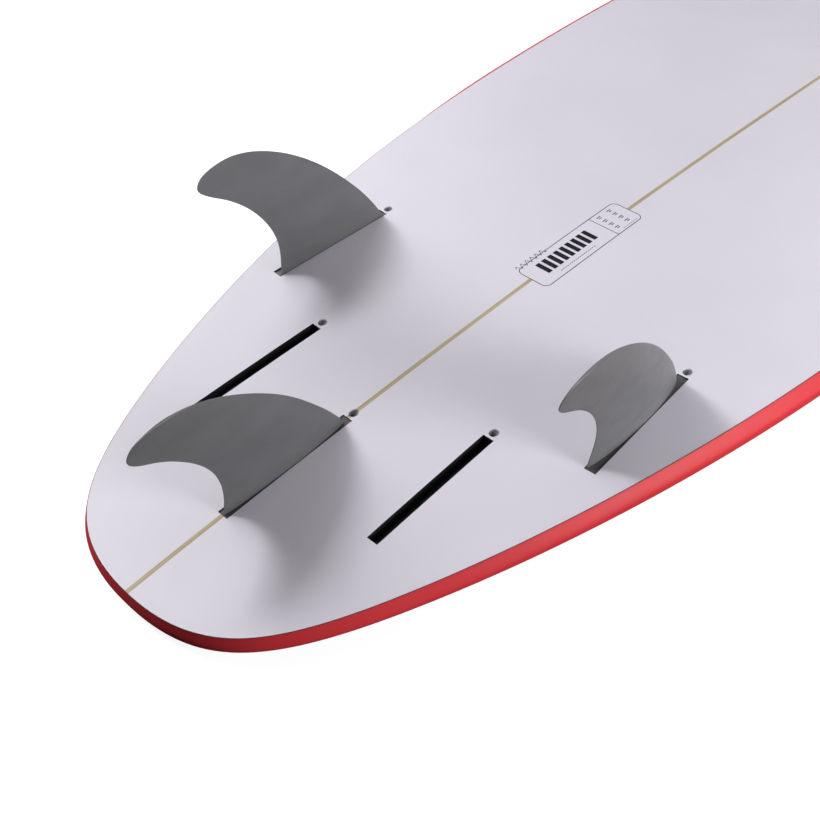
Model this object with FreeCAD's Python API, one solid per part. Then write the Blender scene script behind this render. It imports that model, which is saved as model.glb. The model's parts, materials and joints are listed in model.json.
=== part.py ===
"""A foam-and-glass surfboard with five fin boxes and three lift-out fins.

The board lies deck down, fins up, on the tips of its nose and tail.  Everything is drawn
first in the board's own frame and turned to the resting frame at the very end.

Board frame, in millimetres: X runs from the tail tip to the nose along the tangent of the
bottom at mid-length, Y to the left, Z out of the bottom.  Z = 0 is the bottom at mid-length.
Resting frame: the same directions with both tips on the floor, the origin under the middle.
"""
import FreeCAD, Part
import math
import os

Vector = FreeCAD.Vector

# --- outline and rocker ------------------------------------------------------------------
LENGTH = 1880.0
MIDDLE = LENGTH / 2
# poles of the left half of the bottom's edge line: (distance from the tail, half width)
OUTLINE_POLES = [(0, 0), (0, 27), (10, 83), (110, 136.6), (260, 187.4), (460, 228), (700, 246.6),
                 (980, 255.8), (1300, 239), (1560, 192), (1760, 120), (LENGTH, 58), (LENGTH, 0)]
MM_PER_M = 1000.0
ROCKER = 34.5                     # mm of rise per square metre from the middle
TAIL_KICK = 23.8                  # extra rise towards the tail, per cubic metre
NOSE_KICK = 110.0                 # extra rise towards the nose
NOSE_POWER = 3.5
CONCAVE = 5.6                     # how far the edge stands above the centreline at the deepest
CONCAVE_PEAK = 950.0

# --- thickness and rails -----------------------------------------------------------------
THICKNESS = 67.0
THICKEST = 900.0                  # distance from the tail
TAIL_THICKNESS = 18.0
NOSE_THICKNESS = 14.0
TIP_ROUND = 15.0                  # length over which the deck rounds off at each tip
WIDE_HALF = 250.0                 # the half width for which the two rail values below are given
APEX_DEPTH = (8.8, 10.7)          # rail's widest line below the edge: at the tips, at the wide point
OVERHANG = (2.0, 8.6)             # how far it stands out past the edge, likewise
OVERHANG_POWER = 2                # the overhang grows with this power of the width
# two points from the edge to the widest line: (share of the overhang, share of the depth)
HARD_RAIL = [(0.34, 0.32), (0.7, 0.64)]
SOFT_RAIL = [(0.65, 0.32), (0.92, 0.68)]
SOFTENING = (430.0, 620.0)        # the rail is hard behind these places and soft ahead of them
DECK_ROUNDNESS = 2.5              # exponent of the deck's curve across the board
LAMINATE = 0.9
TIP_HALF_WIDTH = 8.0              # the hull's sections stop here; the tip is a small flat
STATIONS = 30

PAINT_INSET = 1.3                 # rail skin's border inside the bottom's edge line, past the laminate
DECK_BAND = 45.0                  # how far the rail skin wraps on to the deck
STRINGER = 3.5

# --- fin boxes ---------------------------------------------------------------------------
SLOT_LENGTH = 115.8
SLOT_WIDTH = 9.3
SLOT_DEPTH = 13.5
BOX_WALL = 4.3
BOX_FLOOR = 2.5
BOX_REAR = 5.0                    # wall behind the slot
BOX_FRONT = 17.0                  # wall ahead of the slot, which holds the screw
BED_MARGIN = 6.0
BED_FLOOR = 3.0
# name: (distance of the slot's rear end from the tail, its offset, toe in degrees, cant in degrees)
FIN_PLACES = {
    "left_front": (266.3, 159.7, 2.94, 5.4),
    "right_front": (266.3, -159.7, 2.94, 5.4),
    "left_rear": (130.0, 91.0, 1.23, 4.0),
    "right_rear": (130.0, -91.0, 1.23, 4.0),
    "center": (79.3, 0.0, 0.0, 0.0),
}

# --- grub screws -------------------------------------------------------------------------
SCREW_AHEAD = 6.0                 # from the slot's front end to the screw's centre
SCREW_SLANT = 30.0                # degrees from the fin's plane, tip towards the slot
SCREW_RADIUS = 2.5
SCREW_LENGTH = 5.2
SCREW_SUNK = 3.0
HEX_FLATS = 2.5
HEX_DEPTH = 2.5
RUNNING_GAP = 0.05
MOUTH_RADIUS = 3.5

# --- fins --------------------------------------------------------------------------------
TAB_GAP = 0.55                    # clearance between tab and slot on every side
TAB_TOP = -0.7                    # the tab's top is a little under the board's surface
BLADE_THICKNESS = 7.6
TIP_THICKNESS = 1.6
EDGE_THICKNESS = 0.7              # trailing edge
THICKEST_CHORD = 0.4              # thickest point, as a share of the chord from the leading edge
FIN_SECTIONS = 18
FIN_TOP_CUT = 0.997
# outlines in the fin's plane, up the leading edge and down the trailing edge:
# (ahead of the slot's rear end, above the board)
SIDE_OUTLINE = [(112.4, 0), (100.3, 22.9), (86.6, 42.7), (66.4, 66.8), (39.5, 91.1), (12.5, 107.8),
                (-8.2, 115.3), (-22.7, 116.8), (-37.8, 114.8), (-46.6, 110.7), (-50.2, 104.5),
                (-46.0, 98.1), (-32.5, 88.1), (-14.4, 71.6), (-1.7, 53.0), (4.2, 38.0), (6.0, 25.0),
                (4.9, 13.5), (2.1, 0)]
CENTER_OUTLINE = [(111.9, 0), (100.9, 19.1), (89.0, 36.3), (71.5, 58.0), (48.4, 79.1), (25.9, 94.6),
                  (3.3, 105.1), (-20.0, 109.3), (-37.1, 106.7), (-45.4, 102.0), (-48.0, 96.0),
                  (-45.1, 91.6), (-34.1, 84.2), (-15.2, 69.0), (-1.0, 50.2), (4.8, 34.3), (5.8, 23.0),
                  (4.7, 12.5), (0.9, 0)]

# --- leash plug and vent, in the deck ----------------------------------------------------
LEASH_AT = (150.0, 34.0)
CUP_RADIUS = 13.0
CUP_DEPTH = 16.0
BOWL_RADIUS = 10.5
BOWL_DEPTH = 13.0
LEASH_BAR_RADIUS = 2.0
LEASH_BAR_DEPTH = 4.5
BAR_END = 1.0                     # the cup's wall beyond each end of the bar
VENT_AT = (1150.0, 30.0)
VENT_RADIUS = 10.0
VENT_DEPTH = 14.0
VENT_HEAD_RADIUS = 6.5
VENT_HEAD = 3.0
VENT_STEM_RADIUS = 4.0
VENT_STEM = 6.0
VENT_SUNK = 0.5
MEMBRANE = 0.5
RING_RADIUS = 0.8                 # the seal ring's cord
COIN_SLOT = (9.0, 1.4, 1.2)       # length, width, depth
PLUG_REACH = 12.0                 # how far the plugs' blanks stand out before the hull trims them

# --- label -------------------------------------------------------------------------------
LABEL_REAR = 397.0
LABEL_LENGTH = 123.5
LABEL_WIDTH = 30.4
LABEL_CORNER = 6.0
LABEL_THICKNESS = 0.15

FAR = 400.0                       # longer than any cut needs


def rocker(x):
    """Height of the bottom's centreline, 0 at mid-length and below it elsewhere."""
    away = abs(x - MIDDLE) / MM_PER_M
    kick = TAIL_KICK * away ** 3 if x < MIDDLE else NOSE_KICK * away ** NOSE_POWER
    return -(ROCKER * away ** 2 + kick)


def concave(x):
    """Height of the bottom's edge above its centreline."""
    if x < CONCAVE_PEAK:
        return CONCAVE * math.sin(math.pi / 2 * x / CONCAVE_PEAK) ** 2
    return CONCAVE * math.cos(math.pi / 2 * (x - CONCAVE_PEAK) / (LENGTH - CONCAVE_PEAK)) ** 2


def thickness(x):
    """Full thickness on the centreline: a parabola each side of the thickest place."""
    if x < THICKEST:
        end, away = TAIL_THICKNESS, 1 - x / THICKEST
    else:
        end, away = NOSE_THICKNESS, (x - THICKEST) / (LENGTH - THICKEST)
    return THICKNESS - (THICKNESS - end) * away ** 2


def tip_rounding(x):
    """0 at either tip, 1 beyond TIP_ROUND from it, along a quarter of an ellipse."""
    away = min(max(min(x, LENGTH - x), 0) / TIP_ROUND, 1)
    return math.sqrt(1 - (1 - away) ** 2)


def at_width(pair, half, power=1):
    """A rail value between its tip and wide-point figures."""
    return pair[0] + (pair[1] - pair[0]) * (half / WIDE_HALF) ** power


def softness(x):
    """0 where the rail falls straight from a hard edge, 1 where it is round."""
    share = min(max((x - SOFTENING[0]) / (SOFTENING[1] - SOFTENING[0]), 0), 1)
    return share * share * (3 - 2 * share)


def clamped_knots(count):
    """Evenly spaced knots of a clamped cubic with this many poles, and their multiplicities."""
    inner = count - 4
    return [i / (inner + 1) for i in range(inner + 2)], [4] + [1] * inner + [4]


def outline():
    """The bottom's left edge line in plan, from the tail tip to the nose tip."""
    knots, mults = clamped_knots(len(OUTLINE_POLES))
    curve = Part.BSplineCurve()
    poles = [Vector(x, y, 0) for x, y in OUTLINE_POLES]
    curve.buildFromPolesMultsKnots(poles, mults, knots, False, 3)
    return curve


EDGE_LINE = outline()


def edge_point(t, inset):
    """A point of the edge line, moved inwards by inset."""
    point, ahead = EDGE_LINE.value(t), EDGE_LINE.tangent(t)[0]
    return point + Vector(ahead.y, -ahead.x, 0) * inset


def solve(function, low, high):
    """Where a function that rises from below 0 to above 0 crosses it."""
    for _ in range(60):
        middle = (low + high) / 2
        if function(middle) < 0:
            low = middle
        else:
            high = middle
    return (low + high) / 2


def stations(inset):
    """Outline points of the hull's sections, closer together towards the two tips."""
    first = solve(lambda t: edge_point(t, inset).y - TIP_HALF_WIDTH, 0, 0.1)
    last = solve(lambda t: TIP_HALF_WIDTH - edge_point(t, inset).y, 0.9, 1)
    shares = [(1 - math.cos(math.pi * i / (STATIONS - 1))) / 2 for i in range(STATIONS)]
    return [edge_point(first + (last - first) * share, inset) for share in shares]


def half_section(x, half, inset):
    """Rail and deck points from the right edge to the middle of the deck, as (y, z)."""
    edge = rocker(x) + concave(x) - inset
    apex = at_width(APEX_DEPTH, half)
    out = at_width(OVERHANG, half, OVERHANG_POWER)
    depth = (thickness(x) - 2 * inset + concave(x) - apex) * tip_rounding(x - inset * (x < MIDDLE)
                                                                       + inset * (x > MIDDLE))
    points = [(half, edge)]
    for hard, soft in zip(HARD_RAIL, SOFT_RAIL):
        outwards, down = (a + (b - a) * softness(x) for a, b in zip(hard, soft))
        points.append((half + out * outwards, edge - apex * down))
    for share in (0, 0.14, 0.28, 0.42, 0.56, 0.7, 0.85, 1):
        angle = share * math.pi / 2
        across = max(math.cos(angle), 0) ** (2 / DECK_ROUNDNESS)
        down = math.sin(angle) ** (2 / DECK_ROUNDNESS)
        points.append(((half + out) * across, edge - apex - depth * down))
    return points


def section(place, inset):
    """One closed cross-section of the hull: the concave bottom, then rail, deck and rail."""
    x, half = place.x, place.y
    right = half_section(x, half, inset)
    left = [(-y, z) for y, z in reversed(right[:-1])]
    around = [Vector(x, -y, z) for y, z in right + left]
    edge = around[0].z
    sag = Vector(x, 0, 2 * (rocker(x) - inset) - edge)
    bottom = Part.BezierCurve()
    bottom.setPoles([around[-1], sag, around[0]])
    side = Part.BSplineCurve()
    side.interpolate(Points=around, Parameters=[float(i) for i in range(len(around))])
    return Part.Wire([bottom.toShape(), side.toShape()])


def hull(inset):
    """The board's whole shape, drawn in by inset all round."""
    return Part.makeLoft([section(place, inset) for place in stations(inset)], True, False)


def plan_prism(inset):
    """A tall prism over the board's outline, drawn in by inset."""
    left = stations(inset)
    curve = Part.BSplineCurve()
    curve.interpolate(left)
    mirrored = Part.BSplineCurve()
    mirrored.interpolate([Vector(p.x, -p.y, 0) for p in left])
    ends = [Part.makeLine(Vector(p.x, p.y, 0), Vector(p.x, -p.y, 0)) for p in (left[0], left[-1])]
    face = Part.Face(Part.Wire([curve.toShape(), ends[1], mirrored.toShape(), ends[0]]))
    face.translate(Vector(0, 0, -FAR))
    return face.extrude(Vector(0, 0, 2 * FAR))


def bottom_height(x, y):
    """Height of the outer bottom surface."""
    half = EDGE_LINE.value(solve(lambda t: EDGE_LINE.value(t).x - x, 0, 1)).y
    return rocker(x) + concave(x) * (y / half) ** 2


def frame_matrix(origin, ahead, side, up):
    """The matrix that carries a local frame to the board."""
    return FreeCAD.Matrix(ahead.x, side.x, up.x, origin.x, ahead.y, side.y, up.y, origin.y,
                          ahead.z, side.z, up.z, origin.z, 0, 0, 0, 1)


def fin_frame(name):
    """Local frame of a fin box: at the slot's rear end, X ahead, Z up the fin's plane."""
    x, y, toe, cant = FIN_PLACES[name]
    outward = math.copysign(1, y) if y else 0
    turn = math.radians(toe) * -outward
    front = Vector(x + SLOT_LENGTH * math.cos(turn), y + SLOT_LENGTH * math.sin(turn), 0)
    rear = Vector(x, y, bottom_height(x, y))
    front.z = bottom_height(front.x, front.y)
    ahead = (front - rear).normalize()
    side = Vector(0, 0, 1).cross(ahead).normalize()
    normal = ahead.cross(side)
    lean = math.radians(cant) * outward
    up = normal * math.cos(lean) + side * math.sin(lean)
    return frame_matrix(rear, ahead, up.cross(ahead), up)


def slab(x0, x1, half, z0, z1, corner=0):
    """A block along X with rounded upright corners."""
    block = Part.makeBox(x1 - x0, 2 * half, z1 - z0, Vector(x0, -half, z0))
    if not corner:
        return block
    upright = [e for e in block.Edges if abs(e.tangentAt(e.FirstParameter).z) > 0.9]
    return block.makeFillet(corner, upright)


def placed(shape, matrix):
    """A copy of a shape drawn in a local frame, carried to the board."""
    moved = shape.copy()
    moved.transformShape(matrix)
    return moved


def box_blank(margin, floor):
    """The fin box's outer block, grown by a margin."""
    return slab(-BOX_REAR - margin, SLOT_LENGTH + BOX_FRONT + margin, SLOT_WIDTH / 2 + BOX_WALL + margin,
                -SLOT_DEPTH - BOX_FLOOR - floor, PLUG_REACH, BOX_WALL + margin / 2)


def screw_line():
    """Top centre of the grub screw's hole on the surface, and its direction into the board."""
    slant = math.radians(SCREW_SLANT)
    return Vector(SLOT_LENGTH + SCREW_AHEAD, 0, 0), Vector(-math.sin(slant), 0, -math.cos(slant))


def screw_hole():
    """What the grub screw's threaded hole and its wider mouth take away."""
    top, inward = screw_line()
    start = top - inward * PLUG_REACH
    mouth = Part.makeCylinder(MOUTH_RADIUS, PLUG_REACH + SCREW_SUNK, start, inward)
    thread = Part.makeCylinder(SCREW_RADIUS + RUNNING_GAP, SCREW_SUNK + SCREW_LENGTH + 2, top, inward)
    return mouth.fuse(thread)


def slot():
    """What the slot takes away."""
    return slab(0, SLOT_LENGTH, SLOT_WIDTH / 2, -SLOT_DEPTH, PLUG_REACH)


def grub_screw():
    """A headless screw with a hexagon socket."""
    top, inward = screw_line()
    start = top + inward * SCREW_SUNK
    body = Part.makeCylinder(SCREW_RADIUS, SCREW_LENGTH, start, inward)
    body = body.makeChamfer(0.4, [e for e in body.Edges if isinstance(e.Curve, Part.Circle)])
    side = Vector(0, 1, 0)
    other = inward.cross(side)
    reach = HEX_FLATS / math.sqrt(3)
    corners = []
    for i in range(7):
        angle = math.radians(60 * i)
        corners.append(start + side * (reach * math.cos(angle)) + other * (reach * math.sin(angle)))
    socket = Part.Face(Part.makePolygon(corners)).extrude(inward * HEX_DEPTH)
    return body.cut(socket)


def fin_curve(points):
    """A fin's outline as one smooth curve in its plane, and where along it the summit is."""
    curve = Part.BSplineCurve()
    curve.interpolate([Vector(x, 0, z) for x, z in points])
    summit = solve(lambda t: -curve.tangent(t)[0].z, curve.FirstParameter, curve.LastParameter)
    return curve, summit


def reach_at(curve, base, summit, height):
    """How far ahead an outline curve is at one height, between its base and its summit."""
    return curve.value(solve(lambda t: curve.value(t).z - height, base, summit)).x


def foil(share):
    """Thickness along the chord, from 0 at the leading edge to 1 at the thickest and back."""
    power = math.log(0.5) / math.log(THICKEST_CHORD)
    return math.sin(math.pi * share ** power) ** 0.75 if 0 < share < 1 else 0


def fin_section(curve, summit, height, flat_inside):
    """One foil section of a blade.  A side fin is flat inside and its foil is outside."""
    front = reach_at(curve, curve.FirstParameter, summit, height)
    rear = reach_at(curve, curve.LastParameter, summit, height)
    rise = min(height / curve.value(summit).z, 1)
    thick = TIP_THICKNESS + (BLADE_THICKNESS - TIP_THICKNESS) * (1 - rise ** 1.5)
    base = -BLADE_THICKNESS / 2 if flat_inside else 0
    outer, inner = [], []
    for share in (0, 0.02, 0.08, 0.2, 0.4, 0.6, 0.8, 1):
        half = (thick * foil(share) + EDGE_THICKNESS * share) / 2
        x = front + (rear - front) * share
        outer.append(Vector(x, base + (2 * half if flat_inside else half), height))
        inner.append(Vector(x, base if flat_inside else -half, height))
    edges = []
    for points in (outer, inner):
        curve = Part.BSplineCurve()
        curve.interpolate(Points=points, Parameters=[float(i) for i in range(len(points))])
        edges.append(curve.toShape())
    return Part.Wire([edges[0], Part.makeLine(outer[-1], inner[-1]), edges[1]])


def fin(outline_points, flat_inside):
    """Blade and tab in one moulding."""
    curve, summit = fin_curve(outline_points)
    top = curve.value(summit).z * FIN_TOP_CUT
    wires = []
    for i in range(FIN_SECTIONS):
        share = i / (FIN_SECTIONS - 1)
        wires.append(fin_section(curve, summit, top * (1 - (1 - share) ** 2), flat_inside))
    blade = Part.makeLoft(wires, True, False)
    foot = Part.Face(wires[0]).extrude(Vector(0, 0, TAB_TOP - TAB_GAP))
    tab = slab(TAB_GAP, SLOT_LENGTH - TAB_GAP, SLOT_WIDTH / 2 - TAB_GAP, TAB_GAP - SLOT_DEPTH, TAB_TOP)
    return blade.fuse(foot).fuse(tab).removeSplitter()


def deck_frame(x, y):
    """Local frame on the deck at a plan position, Z out of the deck."""
    def height(px, py):
        edge = EDGE_LINE.value(solve(lambda t: EDGE_LINE.value(t).x - px, 0, 1)).y
        apex, out = at_width(APEX_DEPTH, edge), at_width(OVERHANG, edge, OVERHANG_POWER)
        depth = thickness(px) + concave(px) - apex
        across = (1 - (abs(py) / (edge + out)) ** DECK_ROUNDNESS) ** (1 / DECK_ROUNDNESS)
        return rocker(px) + concave(px) - apex - depth * across
    step = 1.0
    ahead = Vector(step, 0, height(x + step, y) - height(x, y)).normalize()
    across = Vector(0, step, height(x, y + step) - height(x, y)).normalize()
    up = across.cross(ahead).normalize()
    return frame_matrix(Vector(x, y, height(x, y)), ahead, up.cross(ahead), up)


def disc(radius, z0, z1):
    """A cylinder about the local Z axis between two heights."""
    return Part.makeCylinder(radius, z1 - z0, Vector(0, 0, z0))


def bowl():
    """The leash plug's rounded hollow."""
    straight = disc(BOWL_RADIUS, -BOWL_DEPTH + BOWL_RADIUS / 2, PLUG_REACH)
    round_end = disc(BOWL_RADIUS, -BOWL_DEPTH, -BOWL_DEPTH + BOWL_RADIUS)
    lowest = [e for e in round_end.Edges if e.BoundBox.ZMax < -BOWL_DEPTH + 1]
    return straight.fuse(round_end.makeFillet(BOWL_RADIUS / 2, lowest))


def leash_bar():
    """The steel pin across the leash plug, which the leash's cord loops round."""
    start = Vector(0, BAR_END - CUP_RADIUS, -LEASH_BAR_DEPTH)
    return Part.makeCylinder(LEASH_BAR_RADIUS, 2 * (CUP_RADIUS - BAR_END), start, Vector(0, 1, 0))


def vent_bore():
    """The vent body's stepped hole: the screw's head, its stem and the membrane's seat."""
    head = disc(VENT_HEAD_RADIUS + RUNNING_GAP, -VENT_SUNK - VENT_HEAD, PLUG_REACH)
    stem_end = -VENT_SUNK - VENT_HEAD - VENT_STEM
    stem = disc(VENT_STEM_RADIUS + RUNNING_GAP, stem_end - RUNNING_GAP, -VENT_SUNK - VENT_HEAD)
    seat = disc(VENT_STEM_RADIUS + RUNNING_GAP, stem_end - RUNNING_GAP - MEMBRANE, stem_end - RUNNING_GAP)
    return head.fuse(stem).fuse(seat)


def seal_groove():
    """The ring round the screw's stem, under its head."""
    height = -VENT_SUNK - VENT_HEAD - RING_RADIUS - 0.6
    return Part.makeTorus(VENT_STEM_RADIUS + RUNNING_GAP, RING_RADIUS, Vector(0, 0, height))


def vent_screw():
    """The vent's screw: a flat head with a coin slot, and a stem with a ring groove."""
    top = -VENT_SUNK
    head = disc(VENT_HEAD_RADIUS, top - VENT_HEAD + RUNNING_GAP, top)
    stem = disc(VENT_STEM_RADIUS, top - VENT_HEAD - VENT_STEM, top - VENT_HEAD + RUNNING_GAP)
    length, width, depth = COIN_SLOT
    coin = Part.makeBox(length, width, depth, Vector(-length / 2, -width / 2, top - depth))
    groove_height = -VENT_SUNK - VENT_HEAD - RING_RADIUS - 0.6
    groove = Part.makeTorus(VENT_STEM_RADIUS + RUNNING_GAP, RING_RADIUS + RUNNING_GAP,
                            Vector(0, 0, groove_height))
    return head.fuse(stem).cut(coin).cut(groove)


def solids_by_height(shape):
    """The solids of a shape, the lowest first."""
    return sorted(shape.Solids, key=lambda solid: solid.CenterOfMass.z)


def resting_matrix(skin):
    """The turn and shift that set both tips on the floor, with the origin under the middle."""
    tail_low = rocker(0) - APEX_DEPTH[0]
    nose_low = rocker(LENGTH) - APEX_DEPTH[0]
    pitch = math.degrees(math.atan2(nose_low - tail_low, LENGTH))
    for _ in range(4):
        turned = skin.copy()
        turned.rotate(Vector(0, 0, 0), Vector(0, 1, 0), pitch)
        middle = turned.BoundBox.Center.x
        halves = []
        for start in (middle - LENGTH, middle):
            half = turned.common(Part.makeBox(LENGTH, LENGTH, LENGTH, Vector(start, -MIDDLE, -MIDDLE)))
            halves.append(half.optimalBoundingBox().ZMin)
        pitch += math.degrees(math.atan2(halves[1] - halves[0], LENGTH))
    box = turned.optimalBoundingBox()
    matrix = FreeCAD.Matrix()
    matrix.rotateY(math.radians(pitch))
    matrix.move(Vector(-box.Center.x, 0, -box.ZMin))
    return matrix


def build():
    """Every node of the board in the board's frame, and the matrix to the resting frame."""
    outer, inner = hull(0), hull(LAMINATE)
    shell = outer.cut(inner)
    bottom = solids_by_height(shell.common(plan_prism(PAINT_INSET)))[-1]
    deck = solids_by_height(shell.common(plan_prism(DECK_BAND)))[0]
    rail = shell.cut(bottom).cut(deck)

    nodes = {}
    foam = inner
    skin_cuts = []
    for name in FIN_PLACES:
        matrix = fin_frame(name)
        block = placed(box_blank(0, 0), matrix)
        bed = placed(box_blank(BED_MARGIN, BED_FLOOR), matrix)
        holes = placed(slot().fuse(screw_hole()), matrix)
        nodes["fin_box_" + name] = block.common(inner).cut(holes)
        nodes["box_bed_" + name] = bed.common(inner).cut(block)
        nodes["grub_screw_" + name] = placed(grub_screw(), matrix)
        foam = foam.cut(bed)
        skin_cuts.append(holes)

    side_fin = fin(SIDE_OUTLINE, True)
    nodes["fin_left"] = placed(side_fin, fin_frame("left_front"))
    nodes["fin_right"] = placed(side_fin.mirror(Vector(0, 0, 0), Vector(0, 1, 0)), fin_frame("right_front"))
    nodes["fin_center"] = placed(fin(CENTER_OUTLINE, False), fin_frame("center"))

    leash = deck_frame(*LEASH_AT)
    cup_blank = placed(disc(CUP_RADIUS, -CUP_DEPTH, PLUG_REACH), leash)
    hollow = placed(bowl(), leash)
    nodes["leash_bar"] = placed(leash_bar(), leash)
    nodes["leash_cup"] = cup_blank.common(inner).cut(hollow).cut(nodes["leash_bar"])

    vent = deck_frame(*VENT_AT)
    vent_blank = placed(disc(VENT_RADIUS, -VENT_DEPTH, PLUG_REACH), vent)
    bore = placed(vent_bore().fuse(seal_groove()), vent)
    nodes["vent_body"] = vent_blank.common(inner).cut(bore)
    nodes["vent_screw"] = placed(vent_screw(), vent)
    nodes["vent_seal"] = placed(seal_groove(), vent)
    stem_end = -VENT_SUNK - VENT_HEAD - VENT_STEM - RUNNING_GAP
    nodes["vent_membrane"] = placed(disc(VENT_STEM_RADIUS, stem_end - MEMBRANE, stem_end), vent)

    foam = foam.cut(cup_blank).cut(vent_blank)
    plank = Part.makeBox(LENGTH, STRINGER, 2 * FAR, Vector(0, -STRINGER / 2, -FAR))
    nodes["stringer"] = foam.common(plank)
    halves = sorted(foam.cut(plank).Solids, key=lambda solid: solid.CenterOfMass.y)
    nodes["core_right"], nodes["core_left"] = halves

    corner_block = slab(LABEL_REAR, LABEL_REAR + LABEL_LENGTH, LABEL_WIDTH / 2, -FAR, FAR, LABEL_CORNER)
    under_label = solids_by_height(corner_block.common(outer.cut(hull(LABEL_THICKNESS))))[-1]
    nodes["label"] = under_label
    nodes["bottom_skin"] = bottom.cut(Part.makeCompound(skin_cuts)).cut(under_label)
    nodes["deck_skin"] = deck.cut(hollow).cut(placed(disc(VENT_HEAD_RADIUS + RUNNING_GAP, -VENT_DEPTH / 2,
                                                          PLUG_REACH), vent))
    nodes["rail_skin"] = rail
    return nodes, resting_matrix(rail)


def main():
    os.makedirs("parts", exist_ok=True)
    nodes, matrix = build()
    for name, shape in nodes.items():
        resting = placed(shape, matrix)
        resting.exportStep("parts/" + name + ".step")
        print("%-24s solids %d  volume %.0f mm3  valid %s"
              % (name, len(resting.Solids), resting.Volume, resting.isValid()))


if __name__ == "__main__":
    main()
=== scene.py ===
"""The looks of the surfboard round its fixed frame: smooth skins, fins, label, studio and camera.

Everything is in metres.  The skins and fins are drawn in the board's own frame: X from the tail tip to the
nose along the tangent of the bottom at mid-length, Y to the left, Z out of the bottom, and Z = 0 at the
bottom's middle.  AT_REST turns them to the resting frame, in which the CAD nodes already stand.
"""
import json
import math

import bmesh
import bpy
import numpy as np
from mathutils import Matrix, Vector


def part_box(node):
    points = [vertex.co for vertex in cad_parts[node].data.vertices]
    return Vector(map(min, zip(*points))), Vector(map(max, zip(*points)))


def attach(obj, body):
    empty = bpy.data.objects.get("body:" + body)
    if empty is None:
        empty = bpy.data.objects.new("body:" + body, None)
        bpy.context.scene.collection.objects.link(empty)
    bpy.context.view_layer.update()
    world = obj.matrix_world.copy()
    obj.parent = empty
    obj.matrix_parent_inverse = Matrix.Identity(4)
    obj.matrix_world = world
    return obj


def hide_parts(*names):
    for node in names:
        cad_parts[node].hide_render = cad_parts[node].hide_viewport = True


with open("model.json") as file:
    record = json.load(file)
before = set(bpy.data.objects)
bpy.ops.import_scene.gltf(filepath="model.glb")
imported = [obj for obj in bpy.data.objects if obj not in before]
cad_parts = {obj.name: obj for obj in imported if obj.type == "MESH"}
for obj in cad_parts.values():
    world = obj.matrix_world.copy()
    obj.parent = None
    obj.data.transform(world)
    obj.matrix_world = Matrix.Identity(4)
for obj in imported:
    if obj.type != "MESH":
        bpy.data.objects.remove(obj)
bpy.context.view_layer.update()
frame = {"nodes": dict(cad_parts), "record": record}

MM = 0.001

# --- hull --------------------------------------------------------------------------------
# These are the CAD model's driving dimensions, but for the tail half of the outline, which is up to
# 1.5 mm wider a side here, and the rail's section and its depth at the tips.
LENGTH = 1880 * MM
MIDDLE = LENGTH / 2
# poles of the left half of the bottom's edge line, in mm: (distance from the tail, half width)
OUTLINE_POLES = [(0, 0), (0, 27.4), (9.8, 84), (110, 137.4), (260, 188.6), (460, 229.8), (700, 246.2),
                 (980, 255.8), (1300, 239), (1560, 192), (1760, 120), (1880, 58), (1880, 0)]
ROCKER = 0.0345                   # m of rise per square metre from the middle
TAIL_KICK = 0.0238                # extra rise towards the tail, per cubic metre
NOSE_KICK = 0.110                 # extra rise towards the nose
NOSE_POWER = 3.5
CONCAVE = 5.6 * MM                # how far the edge stands above the centreline at the deepest
CONCAVE_PEAK = 950 * MM
THICKNESS = 67 * MM
THICKEST = 900 * MM               # distance from the tail
TAIL_THICKNESS = 18 * MM
NOSE_THICKNESS = 14 * MM
TIP_ROUND = 15 * MM               # length over which the deck rounds off at each tip
WIDE_HALF = 250 * MM              # the half width for which the second rail values are given
APEX_DEPTH = (8.2 * MM, 10.7 * MM)   # rail's widest line below the edge: at the tips, at the wide point
OVERHANG = (2.0 * MM, 8.6 * MM)   # how far it stands out past the edge, likewise
OVERHANG_POWER = 2                # the overhang grows with this power of the width
# poles of the rail from the edge to its widest line: (share of the overhang, share of the depth)
HARD_RAIL = [(0, 0), (0.3, 0.33), (0.75, 0.6), (1, 1)]
SOFT_RAIL = [(0, 0), (0.72, 0.17), (1, 0.58), (1, 1)]
SOFTENING = (430 * MM, 620 * MM)  # the rail is hard behind these places and soft ahead of them
DECK_ROUNDNESS = 2.5              # exponent of the deck's curve across the board
# the skins stand clear of the foam cores, whose mesh is coarser
DECK_MARGIN = 1.2 * MM            # deeper deck near the rail, which leaves up to about 0.5 mm
TAIL_PART = 300 * MM              # the deck's margin grows from nothing at the tail tip to here
NOSE_MARGIN = 0.9 * MM            # wider rail and deeper deck near the nose
MARGIN_REACH = (1450 * MM, 1700 * MM)   # the nose's margin grows from nothing to all between these
LAMINATE = 0.9 * MM
DECK_BAND = 45 * MM               # how far the rail skin wraps on to the deck
STRINGER = 3.5 * MM
# the dark line along the hard edge, where the red meets the white
EDGE_LINE = 0.3 * MM              # its width on the bottom
EDGE_LINE_SHARE = 0.4             # its depth on the rail, as a share of the first step of the rail's section
EDGE_LINE_LIFT = (0.01 * MM, 0.05 * MM)   # how far its two faces stand off the skins

# --- fineness of the meshes --------------------------------------------------------------
OUTLINE_SAMPLES = 4001
STATIONS = 401
ACROSS = 49
RAIL_STEPS = 10
UNDER_STEPS = 26
SHARP_ANGLE = math.radians(32)
MERGE = 1e-7                      # points closer than this are one

# --- fin slots and screws ----------------------------------------------------------------
SLOT_LENGTH = 115.8 * MM
SLOT_WIDTH = 9.3 * MM
SLOT_DEPTH = 13.5 * MM
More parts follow.
